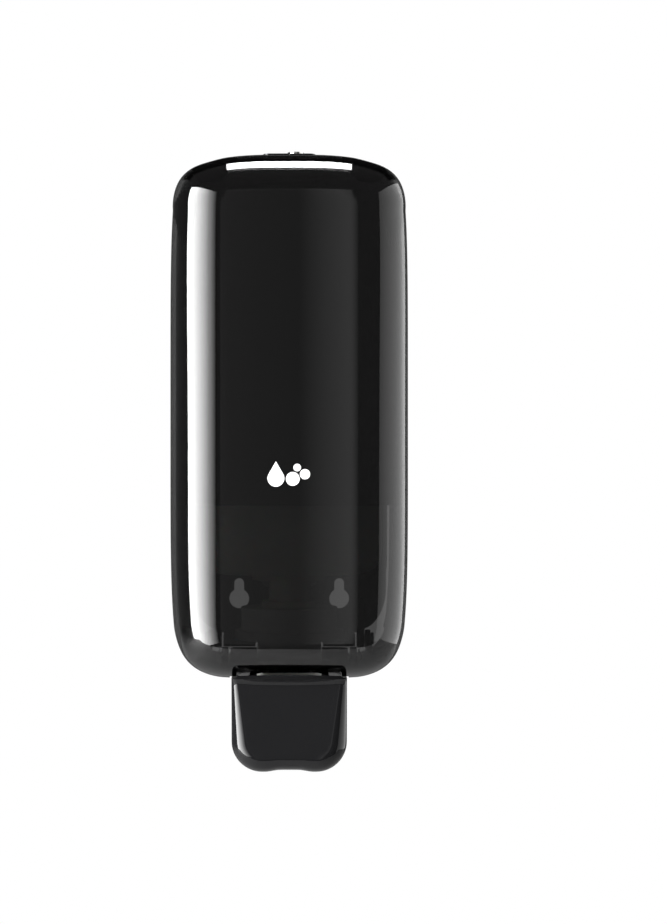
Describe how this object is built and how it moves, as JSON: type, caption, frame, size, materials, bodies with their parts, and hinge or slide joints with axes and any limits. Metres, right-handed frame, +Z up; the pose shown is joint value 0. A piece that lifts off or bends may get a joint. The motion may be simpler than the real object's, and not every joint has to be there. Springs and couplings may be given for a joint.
{
  "type": "wall mounted soap dispenser",
  "caption": "Wall-hung foam soap dispenser: rounded tall case hinged at its foot, a push bar below that lifts the pump of a hanging refill, and a key lock on top.",
  "frame": {"origin": "on the wall plane, at the middle of the four keyholes of the back plate", "axes": "+X to the right as seen from the front, +Y into the wall, +Z up; the front faces -Y"},
  "size_m": [0.113, 0.105, 0.286],
  "materials": {
    "smoked_black": "polished, smoked black",
    "gloss_black": "polished black",
    "liner_black": "matte black",
    "black_abs": "fine moulded texture",
    "bottle_pe": "blow-moulded, milky",
    "label_film": "printed film",
    "white_pp": "satin moulded",
    "yoke_acetal": "satin moulded",
    "seal_rubber": "matte",
    "white_print": "pad-printed",
    "steel": "drawn",
    "zinc_steel": "zinc plated",
    "chrome_barrel": "nickel plated"
  },
  "bodies": {
    "chassis": {"back_plate": "black_abs", "hinge_pins": "steel", "pump_bracket": "black_abs", "bracket_screws": "zinc_steel", "lock_catch": "steel", "catch_screws": "zinc_steel", "refill_bottle": "bottle_pe", "bottle_label": "label_film", "neck_gasket": "seal_rubber", "pump_body": "white_pp", "inlet_ball": "steel", "ball_cage": "white_pp"},
    "cover": {"cover_shell": "smoked_black", "cover_liner": "liner_black", "hinge_ears": "black_abs", "axle_brackets": "black_abs", "push_bar_axle": "steel", "axle_clips": "steel", "badge": "white_print", "lock_insert": "black_abs"},
    "bar": {"push_bar_shell": "gloss_black", "push_yoke": "yoke_acetal", "yoke_screws": "zinc_steel", "axle_bushes": "white_pp"},
    "plunger": {"air_piston": "white_pp", "air_seal": "seal_rubber", "piston_stem": "white_pp", "liquid_seal": "seal_rubber", "foam_screens": "steel", "screen_spacer": "white_pp", "foam_nozzle": "white_pp", "pump_spring": "steel"},
    "lock": {"lock_barrel": "chrome_barrel", "lock_cam": "zinc_steel", "cam_screw": "zinc_steel"}
  },
  "joints": [
    {"name": "cover_hinge", "type": "hinge", "parent": "chassis", "child": "cover", "pos_m": [0, -0.016, -0.096], "axis": [1, 0, 0], "range_deg": [0, 55]},
    {"name": "push_bar", "type": "hinge", "parent": "cover", "child": "bar", "pos_m": [0, -0.08, -0.098], "axis": [1, 0, 0], "range_deg": [0, 20], "stiffness_Nm_per_rad": 2},
    {"name": "pump_slide", "type": "slide", "parent": "chassis", "child": "plunger", "axis": [0, 0, 1], "range_m": [0, 0.0105], "deforming": ["pump_spring"]},
    {"name": "lock_turn", "type": "hinge", "parent": "cover", "child": "lock", "pos_m": [0.003, -0.074, 0.13], "axis": [0, 0, -1], "range_deg": [0, 90]}
  ],
  "couplings": [
    {"joint": "pump_slide", "follows": "push_bar", "m_per_rad": 0.03}
  ]
}
